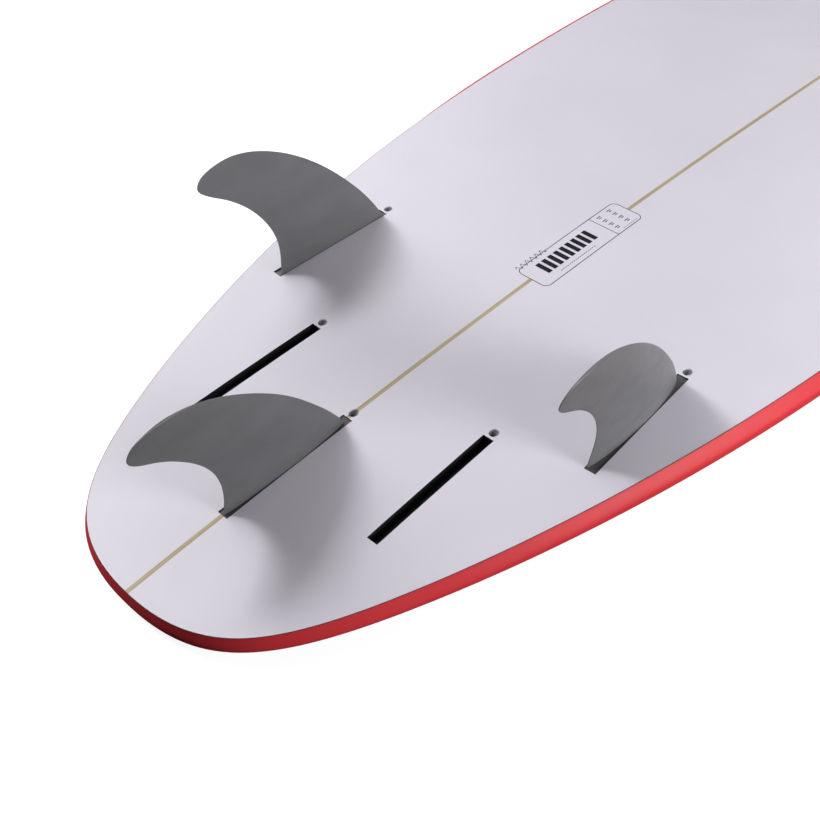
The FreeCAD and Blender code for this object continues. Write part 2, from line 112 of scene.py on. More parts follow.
# name: (distance of the slot's rear end from the tail, its offset, toe in degrees, cant in degrees)
FIN_PLACES = {
    "left_front": (266.3 * MM, 159.7 * MM, 2.94, 5.4),
    "right_front": (266.3 * MM, -159.7 * MM, 2.94, 5.4),
    "left_rear": (130.0 * MM, 91.0 * MM, 1.23, 4.0),
    "right_rear": (130.0 * MM, -91.0 * MM, 1.23, 4.0),
    "center": (79.3 * MM, 0.0, 0.0, 0.0),
}
SCREW_AHEAD = 6.0 * MM
SCREW_SLANT = math.radians(30)
SCREW_SUNK = 3 * MM               # the screw's head below the bottom
MOUTH_RADIUS = 3.5 * MM
CUT_DEPTH = 3 * MM                # how far the cutters reach each side of the bottom
LINING = 0.25 * MM                # the pale resin's thickness in a screw's mouth

# --- fins --------------------------------------------------------------------------------
TAB_GAP = 0.55 * MM
TAB_TOP = -0.7 * MM
BLADE_THICKNESS = 7.6 * MM
TIP_THICKNESS = 1.6 * MM
EDGE_THICKNESS = 0.7 * MM
THICKEST_CHORD = 0.4              # share of the chord, from the leading edge
FOIL_FULLNESS = 0.75              # the foil's curve is a half sine to this power
FOIL_TAPER = 1.5                  # the blade thins with this power of its height
EDGE_ROUND = 1.5 * MM             # the blade's top edge rounds off over this height
FIN_RINGS = 90
FIN_STEPS = 34
STEP_CROWDING = 1.6               # the steps crowd towards the leading edge by this power
# outlines in the fin's plane, in mm, up the leading edge and down the trailing edge
SIDE_OUTLINE = [(112.4, 0), (100.3, 22.9), (86.6, 42.7), (66.4, 66.8), (39.5, 91.1), (12.5, 107.8),
                (-8.2, 115.3), (-22.7, 116.8), (-37.8, 114.8), (-46.6, 110.7), (-50.2, 104.5),
                (-46.0, 98.1), (-32.5, 88.1), (-14.4, 71.6), (-1.7, 53.0), (4.2, 38.0), (6.0, 25.0),
                (4.9, 13.5), (2.1, 0)]
CENTER_OUTLINE = [(111.9, 0), (100.9, 19.1), (89.0, 36.3), (71.5, 58.0), (48.4, 79.1), (25.9, 94.6),
                  (3.3, 105.1), (-20.0, 109.3), (-37.1, 106.7), (-45.4, 102.0), (-48.0, 96.0),
                  (-45.1, 91.6), (-34.1, 84.2), (-15.2, 69.0), (-1.0, 50.2), (4.8, 34.3), (5.8, 23.0),
                  (4.7, 12.5), (0.9, 0)]

# --- holes in the deck skin --------------------------------------------------------------
BOWL_RADIUS = 10.5 * MM
VENT_HOLE_RADIUS = 6.55 * MM

# --- label -------------------------------------------------------------------------------
LABEL_REAR = 395.4 * MM
LABEL_LENGTH = 127.2 * MM
LABEL_WIDTH = 32.2 * MM
LABEL_CORNER = 6 * MM
LABEL_DIVIDER = 93.0 * MM         # from the label's rear end
LABEL_LIFT = 0.02 * MM            # underside of the label above the skin
LABEL_THICKNESS = 0.05 * MM
INK_THICKNESS = 0.02 * MM
INK_LINE = 0.7 * MM
LABEL_STEP = 4 * MM               # the flat shapes are cut this often so that they follow the skin
# rows of bars along the label, in mm from its rear end and its centreline:
# (first bar, last bar, how many, a bar's length, its right side, its left side)
BOLD_BARS = (15.6, 74.1, 9, 4.7, -5.6, 9.2)
SMALL_DASHES = (24.6, 66.6, 17, 1.5, -11.1, -10.3)
DOTS = (103, 120, 8, 1.2, -13.7, -13.1)
# the wavy line by the label's left side: its ends, distance from the side, swing, waves and thickness
WAVE_ENDS = (2 * MM, 37 * MM)
WAVE_OFF = 0.5 * MM
WAVE_SWING = 2.3 * MM
WAVE_COUNT = 6
WAVE_THICKNESS = 1 * MM
# two columns of four pairs of dashes beyond the divider
PAIR_COLUMNS = (98.4 * MM, 111.8 * MM)
PAIR_ROWS = (-8 * MM, 11 * MM, 4)
LONG_DASH = ((0, 0), (5 * MM, 0.9 * MM))           # opposite corners, from the pair's place
SHORT_DASH = ((1.2 * MM, -2 * MM), (4.4 * MM, -1.1 * MM))

# --- camera and studio -------------------------------------------------------------------
CAMERA_TARGET = (-0.68275, 0.0, 0.01241)
CAMERA_AWAY = 0.8678
CAMERA_AZIMUTH = math.radians(46.509)   # 0 looks along +Y, and a quarter turn along +X
CAMERA_DOWN = math.radians(41.505)
CAMERA_ROLL = math.radians(1.433)
LENS_MM = 50.05
FLOOR_HALF = 6.0
BACKDROP_HEIGHT = 9.0
FLOOR_GLOW = 0.9
WORLD_LIGHT = 0.03
# name, direction in plan (degrees, 0 along +X), elevation (degrees), distance (m), size (m), watts
SOFT_BOXES = [("key", 115, 48, 2.2, 0.45, 21.6), ("left", 90, 25, 2.2, 1.2, 22.4),
              ("left_front", 60, 35, 2.2, 1.2, 9.9), ("right", -80, 20, 1.2, 0.5, 9.9),
              ("front", 0, 35, 2.2, 1.2, 8.8), ("top", 0, 85, 2.2, 1.5, 2.4)]

# --- colours, as linear red, green and blue ----------------------------------------------
# a pair holds the two tones that a material wanders between
BOTTOM_WHITE = ((0.72, 0.69, 0.77), (0.69, 0.66, 0.745))
DECK_WHITE = ((0.74, 0.72, 0.77), (0.71, 0.69, 0.745))
STRINGER_TAN = ((0.35, 0.27, 0.14), (0.50, 0.42, 0.27))   # seen through the laminate
STRINGER_WOOD = ((0.50, 0.33, 0.12), (0.78, 0.60, 0.32))
RAIL_RED = ((0.79, 0.046, 0.056), (0.86, 0.052, 0.065))
DARK_RED = ((0.13, 0.035, 0.05), (0.17, 0.05, 0.066))
FIN_GREY = ((0.152, 0.150, 0.157), (0.178, 0.176, 0.183))
BOX_BLACK = ((0.012, 0.012, 0.013), (0.03, 0.03, 0.032))
PLUG_BLACK = ((0.022, 0.022, 0.024), (0.04, 0.04, 0.043))
SEAL_BLACK = ((0.022, 0.022, 0.024), (0.035, 0.035, 0.036))
VENT_GREY = ((0.56, 0.56, 0.58), (0.64, 0.64, 0.66))
STEEL_GREY = ((0.10, 0.10, 0.105), (0.20, 0.20, 0.21))
BED_FOAM = ((0.82, 0.74, 0.52), (0.62, 0.52, 0.30))
CORE_FOAM = ((0.93, 0.93, 0.90), (0.74, 0.74, 0.71))
MEMBRANE_WHITE = ((0.75, 0.75, 0.75), (0.9, 0.9, 0.9))
LABEL_WHITE = ((0.73, 0.70, 0.78), (0.69, 0.66, 0.745))
LABEL_INK = ((0.006, 0.005, 0.009), (0.014, 0.012, 0.02))
# the screw mouths' lining: painted shade, a grey that stands in for the shade inside the mouths
MOUTH_PAINTED_SHADE = (0.38, 0.365, 0.40)
FLOOR_GREY = (0.3, 0.3, 0.3)
WHITE = (1, 1, 1)
TAB_PAINTED_SHADE = 0.44                  # painted shade: the tabs' grey as a share of the blades', darker for the shade in their slots
# the blades' greys as shares of FIN_GREY, with painted light and shade: the right blade painted lighter and
# the middle blade painted darker, standing in for the light and shade that fall on them
LEFT_SHADE = 1.0
RIGHT_PAINTED_LIGHT = 1.12
MIDDLE_PAINTED_SHADE = 0.88
# gloss of the resins and the ink, as the shader's specular level
RESIN_GLOSS = 0.4
PIGMENT_GLOSS = 0.3
INK_GLOSS = 0.12

# --- textures of the materials -----------------------------------------------------------
MOULD_GRAIN = 2600.0              # waves per metre in moulded plastic
SPECK = 0.12                      # how much the grain shifts a moulding's tone
SHEEN_SPREAD = 0.05               # how much a moulding's roughness varies
WEAVE = 350.0                     # scale of the glass cloth's threads
WEAVE_WAVER = 0.6
MEMBRANE_WEAVE = 900.0
MEMBRANE_WAVER = 1.5
RESIN_GRAIN = 700.0               # waves per metre in the red and dark resin
BED_BEADS = 900.0                 # foam beads per metre
CORE_BEADS = 320.0
STRINGER_WANDER = 0.15 * MM       # how far the stringer's edges stray
STRINGER_SOFT = 0.25 * MM         # and over what width they fade under the resin
# depths of the relief
CLOTH_RELIEF = 0.004 * MM
FINE_RELIEF = 0.01 * MM
MOULD_RELIEF = 0.02 * MM
COARSE_RELIEF = 0.03 * MM
MEMBRANE_RELIEF = 0.05 * MM
WOOD_RELIEF = 0.1 * MM
FOAM_RELIEF = 0.2 * MM
NOISE_MIDDLE = (0.3, 0.7)         # noise seldom leaves this range, which is spread over what is asked for


# === shape of the hull ===================================================================

def rocker(x):
    """Height of the bottom's centreline."""
    away = np.abs(x - MIDDLE)
    kick = np.where(x < MIDDLE, TAIL_KICK * away ** 3, NOSE_KICK * away ** NOSE_POWER)
    return -(ROCKER * away ** 2 + kick)


def concave(x):
    """Height of the bottom's edge above its centreline."""
    before = np.sin(math.pi / 2 * x / CONCAVE_PEAK)
    beyond = np.cos(math.pi / 2 * (x - CONCAVE_PEAK) / (LENGTH - CONCAVE_PEAK))
    return CONCAVE * np.where(x < CONCAVE_PEAK, before, beyond) ** 2


def thickness(x):
    """Full thickness on the centreline: a parabola each side of the thickest place."""
    towards_tail = THICKNESS - (THICKNESS - TAIL_THICKNESS) * (1 - x / THICKEST) ** 2
    towards_nose = THICKNESS - (THICKNESS - NOSE_THICKNESS) * ((x - THICKEST) / (LENGTH - THICKEST)) ** 2
    return np.where(x < THICKEST, towards_tail, towards_nose)


def tip_rounding(x):
    """0 at either tip of the rail, 1 beyond TIP_ROUND from it, along a quarter of an ellipse."""
    away = np.clip((np.minimum(x, LENGTH - x) + OVERHANG[0]) / TIP_ROUND, 0, 1)
    return np.sqrt(1 - (1 - away) ** 2)


def at_width(pair, half, power=1):
    """A rail value between its tip and wide-point figures."""
    return pair[0] + (pair[1] - pair[0]) * (half / WIDE_HALF) ** power


def spline_point(poles, t):
    """A point of the clamped cubic B-spline that has these poles and evenly spaced knots."""
    spans = len(poles) - 3
    knots = [0] * 3 + [i / spans for i in range(spans + 1)] + [1] * 3
    first = min(int(t * spans), spans - 1)
    points = [Vector(pole) for pole in poles[first:first + 4]]
    for level in (1, 2, 3):
        for i in range(3, level - 1, -1):
            low = knots[first + i]
            high = knots[first + i + 4 - level]
            points[i] = points[i - 1].lerp(points[i], (t - low) / (high - low))
    return points[3]


def edge_stations():
    """Evenly spaced places along the bottom's left edge line, and the way out at each, in plan."""
    fine = np.array([spline_point(OUTLINE_POLES, t) for t in np.linspace(0, 1, OUTLINE_SAMPLES)]) * MM
    steps = np.hypot(*np.diff(fine, axis=0).T)
    along = np.concatenate([[0], np.cumsum(steps)])
    even = np.linspace(0, along[-1], STATIONS)
    places = np.column_stack([np.interp(even, along, fine[:, axis]) for axis in (0, 1)])
    ahead = np.gradient(places, axis=0)
    ahead[0], ahead[-1] = (0, 1), (0, -1)
    ahead /= np.hypot(*ahead.T)[:, None]
    return places, np.column_stack([-ahead[:, 1], ahead[:, 0]])


def eased(x, reach):
    """0 behind the first of two places along the board, 1 ahead of the second, and smooth between."""
    share = np.clip((x - reach[0]) / (reach[1] - reach[0]), 0, 1)
    return share * share * (3 - 2 * share)


def nose_margin(x):
    """How much further out and down the rail and deck stand near the nose."""
    return NOSE_MARGIN * eased(x, MARGIN_REACH)


EDGE, OUT = edge_stations()
EDGE_HEIGHT = rocker(EDGE[:, 0]) + concave(EDGE[:, 0])
RAIL_OUT = at_width(OVERHANG, EDGE[:, 1], OVERHANG_POWER) + nose_margin(EDGE[:, 0])
RAIL_DOWN = at_width(APEX_DEPTH, EDGE[:, 1])
APEX = EDGE + OUT * RAIL_OUT[:, None]
APEX_HEIGHT = EDGE_HEIGHT - RAIL_DOWN


def bottom_height(x, y):
    """Height of the outer bottom surface."""
    half = np.interp(x, EDGE[:, 0], EDGE[:, 1])
    return rocker(x) + concave(x) * (y / half) ** 2


def deck_height(x, y):
    """Height of the outer deck surface, which ends at the rail's apex."""
    half = np.maximum(np.interp(x, APEX[:, 0], APEX[:, 1]), MERGE)
    apex = np.interp(x, APEX[:, 0], APEX_HEIGHT)
    down = np.interp(x, APEX[:, 0], RAIL_DOWN)
    across = np.clip(np.abs(y) / half, 0, 1) ** DECK_ROUNDNESS
    proud = nose_margin(x) + DECK_MARGIN * np.clip(x / TAIL_PART, 0, 1) * across
    depth = (thickness(x) + concave(x) - down) * tip_rounding(x) + proud
    return apex - depth * (1 - across) ** (1 / DECK_ROUNDNESS)


def board_matrix(origin, ahead, side, up):
    """The matrix that carries a local frame to the board."""
    turn = Matrix((ahead, side, up)).transposed().to_4x4()
    return Matrix.Translation(origin) @ turn


def fin_frame(name):
    """Local frame of a fin slot: at its rear end, X ahead, Z up the fin's plane."""
    x, y, toe, cant = FIN_PLACES[name]
    outward = math.copysign(1, y) if y else 0
    turn = math.radians(toe) * -outward
    rear = Vector((x, y, bottom_height(x, y)))
    front = Vector((x + SLOT_LENGTH * math.cos(turn), y + SLOT_LENGTH * math.sin(turn), 0))
    front.z = bottom_height(front.x, front.y)
    ahead = (front - rear).normalized()
    side = Vector((0, 0, 1)).cross(ahead).normalized()
    normal = ahead.cross(side)
    lean = math.radians(cant) * outward
    up = normal * math.cos(lean) + side * math.sin(lean)
    return board_matrix(rear, ahead, up.cross(ahead), up)


def screw_frame(name):
    """Local frame of a grub screw's hole: on the bottom at its centre, Z out of the hole."""
    ahead = Matrix.Translation((SLOT_LENGTH + SCREW_AHEAD, 0, 0))
    return fin_frame(name) @ ahead @ Matrix.Rotation(SCREW_SLANT, 4, "Y")


def resting_matrix():
    """The board frame's place at rest, worked out from where the CAD model's centre fin slot is."""
    mount = next(m for m in frame["record"]["mounts"] if m["name"] == "center_fin_slot")
    slot = fin_frame("center")
    drawn = slot.col[2]
    at_rest = Vector(mount["axis"])
    pitch = math.atan2(at_rest.x, at_rest.z) - math.atan2(drawn.x, drawn.z)
    turn = Matrix.Rotation(pitch, 4, "Y")
    middle = slot @ Vector((SLOT_LENGTH / 2, 0, -SLOT_DEPTH / 2))
    return Matrix.Translation(Vector(mount["pos_m"]) - turn @ middle) @ turn


AT_REST = resting_matrix()


# === mesh helpers ========================================================================

def put(name, points, faces, place=AT_REST):
    """A new mesh object from points in a local frame, with doubled points merged and normals outwards."""
    mesh = bpy.data.meshes.new(name)
    mesh.from_pydata([tuple(p) for p in points], [], [tuple(int(i) for i in f) for f in faces])
    mesh.transform(place)
    build = bmesh.new()
    build.from_mesh(mesh)
    bmesh.ops.remove_doubles(build, verts=build.verts, dist=MERGE)
    bmesh.ops.recalc_face_normals(build, faces=build.faces)
    build.to_mesh(mesh)
    build.free()
    shade(mesh)
    made = bpy.data.objects.new(name, mesh)
    bpy.context.scene.collection.objects.link(made)
    return made


def shade(mesh):
    """Smooth shading that keeps real edges sharp."""
    mesh.shade_smooth()
    mesh.set_sharp_from_angle(angle=SHARP_ANGLE)


def quads(grid):
    """Four-cornered faces between the neighbours of a grid of point numbers."""
    corners = (grid[:-1, :-1], grid[1:, :-1], grid[1:, 1:], grid[:-1, 1:])
    return np.stack(corners, -1).reshape(-1, 4)


def shell(name, outer, inner, ring=False):
    """A closed skin between two matching grids of points; a ring joins its last row to its first."""
    rows, columns = outer.shape[:2]
    count = rows * columns
    grid = np.arange(count).reshape(rows, columns)
    if ring:
        grid = np.vstack([grid, grid[:1]])
    borders = [grid[:, 0], grid[:, -1]]
    if not ring:
        borders += [grid[0], grid[-1]]
    faces = [quads(grid), quads(grid + count)]
    faces += [quads(np.stack([border, border + count])) for border in borders]
    return put(name, np.concatenate([outer.reshape(-1, 3), inner.reshape(-1, 3)]), np.concatenate(faces))


def loft(name, rings, place):
    """A closed solid through a stack of rings of points, with a flat cap at each end."""
    rows, columns = rings.shape[:2]
    grid = np.arange(rows * columns).reshape(rows, columns)
    around = np.hstack([grid, grid[:, :1]])
    faces = [tuple(f) for f in quads(around)] + [tuple(grid[0]), tuple(grid[-1])]
    return put(name, rings.reshape(-1, 3), faces, place)


def block(name, low, high, place):
    """A box in a local frame."""
    along, across, up = zip(low, high)
    corners = [Vector((x, y, z)) for z in up for y in across for x in along]
    faces = [(0, 1, 3, 2), (4, 5, 7, 6), (0, 1, 5, 4), (2, 3, 7, 6), (0, 2, 6, 4), (1, 3, 7, 5)]
    return put(name, corners, faces, place)


def tube(name, radius, low, high, place, sides=48):
    """A cylinder about the local Z axis."""
    angles = np.linspace(0, 2 * math.pi, sides, endpoint=False)
    circle = np.column_stack([radius * np.cos(angles), radius * np.sin(angles)])
    rings = np.array([np.column_stack([circle, np.full(sides, z)]) for z in (low, high)])
    return loft(name, rings, place)


def combine(body, tools, operation):
    """Cuts the tools out of the body, or joins them to it, and removes them."""
    for tool in tools:
        step = body.modifiers.new("combine", "BOOLEAN")
        step.operation = operation
        step.solver = "EXACT"
        step.material_mode = "TRANSFER"
        step.object = tool
    done = bpy.data.meshes.new_from_object(body.evaluated_get(bpy.context.evaluated_depsgraph_get()))
    body.modifiers.clear()
    body.data = done
    shade(body.data)
    for tool in tools:
        bpy.data.objects.remove(tool)
    return body


def mirrored(grid):
    """The same points on the board's right side."""
    return grid * np.array([1, -1, 1])


# === skins ===============================================================================

def rail_section():
    """Outer points of the rail skin at every station, from the hard edge round to its border on the deck."""
    columns = []
    hard, soft = np.array(HARD_RAIL), np.array(SOFT_RAIL)
    softness = eased(EDGE[:, 0], SOFTENING)
    for t in np.linspace(0, 1, RAIL_STEPS + 1):
        weights = np.array([(1 - t) ** 3, 3 * t * (1 - t) ** 2, 3 * t * t * (1 - t), t ** 3])
        out, down = (weights @ hard)[:, None] * (1 - softness) + (weights @ soft)[:, None] * softness
        plan = EDGE + OUT * (RAIL_OUT * out)[:, None]
        columns.append(np.column_stack([plan, EDGE_HEIGHT - RAIL_DOWN * down]))
    for t in np.linspace(0, 1, UNDER_STEPS + 1)[1:]:
        inwards = (RAIL_OUT + DECK_BAND) * t ** DECK_ROUNDNESS
        plan = APEX - OUT * inwards[:, None]
        columns.append(np.column_stack([plan, deck_height(plan[:, 0], plan[:, 1])]))
    return np.stack(columns, axis=1)


def make_rail_skin():
    """The red laminate that wraps the board's edge, from the hard edge on to the deck."""
    left = rail_section()
    outer = np.concatenate([left, mirrored(left[-2:0:-1])])
    around = np.roll(outer, -1, axis=0) - np.roll(outer, 1, axis=0)
    down = np.gradient(outer, axis=1)
    normal = np.cross(around, down)
    normal /= np.linalg.norm(normal, axis=2, keepdims=True)
    if normal[STATIONS // 2, RAIL_STEPS, 1] < 0:
        normal = -normal
    # straight up at the hard edge, so that the rail meets the bottom skin's wall face to face
    turned = np.clip(np.arange(outer.shape[1]) / RAIL_STEPS, 0, 1)[None, :, None]
    normal = normal * turned + np.array([0, 0, 1]) * (1 - turned)
    normal[:, -1] = (0, 0, -1)
    normal /= np.linalg.norm(normal, axis=2, keepdims=True)
    return shell("rail_glass", outer, outer - normal * LAMINATE, ring=True)


def make_edge_line():
    """The thin dark line round the hard edge, lying on the bottom and the rail."""
    edge, below = np.moveaxis(rail_section()[:, :2], 1, 0)
    inside = edge - np.column_stack([OUT * EDGE_LINE, np.zeros(STATIONS)])
    below = edge + (below - edge) * EDGE_LINE_SHARE
    up = np.array([0, 0, 1])
    out = np.column_stack([OUT, np.zeros(STATIONS)])
    layers = []
    for lift in reversed(EDGE_LINE_LIFT):
        left = np.stack([inside + up * lift, edge + (up + out) * lift, below + out * lift], axis=1)
        layers.append(np.concatenate([left, mirrored(left[-2:0:-1])]))
    return shell("edge_line", *layers, ring=True)


def across_grid(places, height):
    """Rows of points straight across the board, from each place to its mirror image."""
    share = np.linspace(1, -1, ACROSS)
    x = np.repeat(places[:, :1], ACROSS, axis=1)
    y = places[:, 1:] * share
    return np.stack([x, y, height(x, y, share)], axis=2)


def make_bottom_skin():
    """The bottom's laminate, and the cutters for its slots and screw mouths."""
    outer = across_grid(EDGE, lambda x, y, share: rocker(x) + concave(x) * share ** 2)
    skin = shell("bottom_glass", outer, outer - np.array([0, 0, LAMINATE]))
    slots, mouths = [], []
    for name in FIN_PLACES:
        place = AT_REST @ fin_frame(name)
        low = (0, -SLOT_WIDTH / 2, -CUT_DEPTH)
        high = (SLOT_LENGTH, SLOT_WIDTH / 2, CUT_DEPTH)
        slots.append(block("slot_cutter", low, high, place))
        mouths.append(tube("mouth_cutter", MOUTH_RADIUS, -CUT_DEPTH, CUT_DEPTH, AT_REST @ screw_frame(name)))
    return skin, slots, mouths


def make_deck_skin():
    """The deck's laminate inside the rail skin's border, and the cutters for its plugs."""
    border = APEX - OUT * (RAIL_OUT + DECK_BAND)[:, None]
    border[0, 1] = border[-1, 1] = 0
    outer = across_grid(border, lambda x, y, share: deck_height(x, y))
    skin = shell("deck_glass", outer, outer + np.array([0, 0, LAMINATE]))
    cutters = []
    for node, radius in (("leash_cup", BOWL_RADIUS), ("vent_screw", VENT_HOLE_RADIUS)):
        low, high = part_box(node)
        centre = (low + high) / 2
        reach = high.z - low.z
        cutters.append(tube(node + "_cutter", radius, -reach, reach, Matrix.Translation(centre)))
    return skin, cutters


# === fins ================================================================================

def smooth_outline(points, samples=1200):
    """A natural cubic curve through the points, evenly sampled."""
    points = np.array(points) * MM
    along = np.concatenate([[0], np.cumsum(np.hypot(*np.diff(points, axis=0).T))])
    gap = np.diff(along)[:, None]
    slope = np.diff(points, axis=0) / gap
    system = np.eye(len(points))
    bend = np.zeros_like(points)
    for i in range(1, len(points) - 1):
        system[i, i - 1:i + 2] = gap[i - 1, 0], 2 * (gap[i - 1, 0] + gap[i, 0]), gap[i, 0]
        bend[i] = 6 * (slope[i] - slope[i - 1])
    second = np.linalg.solve(system, bend)
    at = np.linspace(0, along[-1], samples)
    span = np.clip(np.searchsorted(along, at, side="right") - 1, 0, len(gap) - 1)
    step = gap[span]
    after = (at - along[span])[:, None]
    before = step - after
    bent = (second[span] * (before ** 3 / step - before * step) + second[span + 1]
            * (after ** 3 / step - after * step)) / 6
    return (points[span] * before + points[span + 1] * after) / step + bent


def foil(share):
    """Thickness along the chord, from 0 at the leading edge to 1 at the thickest and back to 0."""
    power = math.log(0.5) / math.log(THICKEST_CHORD)
    return np.maximum(np.sin(math.pi * share ** power), 0) ** FOIL_FULLNESS


def make_fin(name, outline, slot, body, outward, plastic, tab_painted_shade_plastic):
    """Blade and tab in one moulding.  outward is 0 for a symmetric foil, 1 or -1 for a flat inner face."""
    curve = smooth_outline(outline)
    summit = int(curve[:, 1].argmax())
    top = curve[summit, 1]
    leading, trailing = curve[:summit + 1], curve[summit:][::-1]
    rise = 1 - (1 - np.linspace(0, 1, FIN_RINGS)) ** 2
    heights = top * rise
    front = np.interp(heights, leading[:, 1], leading[:, 0])
    rear = np.interp(heights, trailing[:, 1], trailing[:, 0])
    rounding = np.sqrt(1 - (1 - np.clip((top - heights) / EDGE_ROUND, 0, 1)) ** 2)
    thick = (TIP_THICKNESS + (BLADE_THICKNESS - TIP_THICKNESS) * (1 - rise ** FOIL_TAPER)) * rounding
    heights[0] = TAB_TOP - TAB_GAP
    share = np.linspace(0, 1, FIN_STEPS) ** STEP_CROWDING
    half = (thick[:, None] * foil(share) + EDGE_THICKNESS * rounding[:, None] * share) / 2
    x = front[:, None] + (rear - front)[:, None] * share
    z = np.repeat(heights[:, None], FIN_STEPS, axis=1)
    if outward:
        inner = np.full_like(half, -BLADE_THICKNESS / 2 * outward)
        outer = inner + 2 * half * outward
    else:
        inner, outer = -half, half
    near = np.stack([x, outer, z], axis=2)
    far = np.stack([x, inner, z], axis=2)[:, :0:-1]
    place = AT_REST @ fin_frame(slot)
    blade = loft(name, np.concatenate([near, far], axis=1), place)
    side = SLOT_WIDTH / 2 - TAB_GAP
    tab = block("tab", (TAB_GAP, -side, TAB_GAP - SLOT_DEPTH), (SLOT_LENGTH - TAB_GAP, side, TAB_TOP), place)
    blade.data.materials.append(plastic)
    # the tab's darker grey is painted shade
    tab.data.materials.append(tab_painted_shade_plastic)
    fin = combine(blade, [tab], "UNION")
    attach(fin, body)
    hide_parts(body)
    return fin


# === label ===============================================================================

def rounded(x0, x1, y0, y1, corner, steps=8):
    """The outline of a rounded rectangle in plan."""
    points = []
    for quarter, (cx, cy) in enumerate([(x1, y1), (x0, y1), (x0, y0), (x1, y0)]):
        centre = (cx - math.copysign(corner, cx - (x0 + x1) / 2),
                  cy - math.copysign(corner, cy - (y0 + y1) / 2))
        for i in range(steps + 1):
            angle = math.pi / 2 * (quarter + i / steps)
            points.append((centre[0] + corner * math.cos(angle), centre[1] + corner * math.sin(angle)))
    return points


def flat_sheet(name, outlines, lift, thick):
    """Thin closed pieces that lie along the bottom, one for each outline (or outline and hole) in plan."""
    build = bmesh.new()
    for outline, hole in outlines:
        outer = [build.verts.new((x, y, 0)) for x, y in outline]
        if hole is None:
            build.faces.new(outer)
            continue
        inner = [build.verts.new((x, y, 0)) for x, y in hole]
        for i in range(len(outer)):
            build.faces.new((outer[i - 1], outer[i], inner[i], inner[i - 1]))
    along = (0, LABEL_REAR, LABEL_REAR + LABEL_LENGTH)
    across = (1, -LABEL_WIDTH / 2, LABEL_WIDTH / 2)
    for axis, low, high in (along, across):
        for at in np.arange(low + LABEL_STEP, high, LABEL_STEP):
            everything = build.verts[:] + build.edges[:] + build.faces[:]
            plane = [0, 0, 0]
            plane[axis] = 1
            bmesh.ops.bisect_plane(build, geom=everything, plane_co=Vector(plane) * at, plane_no=plane,
                                   dist=MERGE)
    upper = bmesh.ops.extrude_face_region(build, geom=build.faces[:])["geom"]
    raised = {v for v in upper if isinstance(v, bmesh.types.BMVert)}
    for vert in build.verts:
        vert.co.z = bottom_height(vert.co.x, vert.co.y) + lift + (thick if vert in raised else 0)
    points = [v.co.copy() for v in build.verts]
    build.verts.index_update()
    faces = [[v.index for v in f.verts] for f in build.faces]
    build.free()
    return put(name, points, faces)


def bar(x0, x1, y0, y1):
    """A plain rectangle of ink."""
    return [(x0, y0), (x1, y0), (x1, y1), (x0, y1)], None


def row_of_bars(rear, row):
    """Equal bars of ink, evenly spaced along the label."""
    first, last, count, length, right, left = row
    places = np.linspace(rear + first * MM, rear + last * MM, count)
    return [bar(x, x + length * MM, right * MM, left * MM) for x in places]


def wave(x0, x1, middle, swing, count, thick, steps=60):
    """A plain wavy line of ink along X."""
    share = np.linspace(0, 1, steps + 1)
    x = x0 + (x1 - x0) * share
    y = middle + swing * np.sin(2 * math.pi * count * share)
    there = list(zip(x, y + thick / 2))
    back = list(zip(x, y - thick / 2))
    return there + back[::-1], None


def label_marks():
    """Plain ink shapes as dense as a printed label: a frame, rows of bars, a wavy line and dashes."""
    rear, front = LABEL_REAR, LABEL_REAR + LABEL_LENGTH
    half = LABEL_WIDTH / 2
    edge = rounded(rear, front, -half, half, LABEL_CORNER)
    inside = rounded(rear + INK_LINE, front - INK_LINE, INK_LINE - half, half - INK_LINE,
                     LABEL_CORNER - INK_LINE)
    marks = [(edge, inside)]
    divider = rear + LABEL_DIVIDER
    marks.append(bar(divider, divider + INK_LINE, INK_LINE - half, half - INK_LINE))
    marks += row_of_bars(rear, BOLD_BARS)
    marks += row_of_bars(rear, SMALL_DASHES)
    start, end = (rear + place for place in WAVE_ENDS)
    marks.append(wave(start, end, half + WAVE_OFF, WAVE_SWING, WAVE_COUNT, WAVE_THICKNESS))
    for x in PAIR_COLUMNS:
        for y in np.linspace(*PAIR_ROWS):
            for (x0, y0), (x1, y1) in (LONG_DASH, SHORT_DASH):
                marks.append(bar(rear + x + x0, rear + x + x1, y + y0, y + y1))
    marks += row_of_bars(rear, DOTS)
    return marks


# === materials ===========================================================================

def new_material(name, **values):
    """A material with a Principled shader whose uniform sockets hold these values."""
    made = bpy.data.materials.new(name)
    made.use_nodes = True
    shader = made.node_tree.nodes["Principled BSDF"]
    for socket, value in values.items():
        shader.inputs[socket.replace("_", " ")].default_value = value
    return made, made.node_tree, shader


def add(tree, kind, inputs=None, **settings):
    """A new shader node with its settings, and its inputs set or linked."""
    made = tree.nodes.new("ShaderNode" + kind)
    for key, value in settings.items():
        setattr(made, key, value)
    for key, value in (inputs or {}).items():
        if isinstance(value, bpy.types.NodeSocket):
            tree.links.new(value, made.inputs[key])
        else:
            made.inputs[key].default_value = value
    return made


def place_of(tree, stretch=(1, 1, 1)):
    """Coordinates fixed to the piece, in metres, stretched along each axis."""
    where = add(tree, "TexCoord").outputs["Object"]
    return add(tree, "Mapping", {"Vector": where, "Scale": stretch}).outputs["Vector"]


def noise(tree, scale, low=0.0, high=1.0, stretch=(1, 1, 1), detail=3.0):
    """Noise spread over low to high; scale is in waves per metre."""
    waves = add(tree, "TexNoise", {"Vector": place_of(tree, stretch), "Scale": scale, "Detail": detail})
    spread = {"Value": waves.outputs["Fac"], "From Min": NOISE_MIDDLE[0], "From Max": NOISE_MIDDLE[1],
              "To Min": low, "To Max": high}
    return add(tree, "MapRange", spread).outputs["Result"]


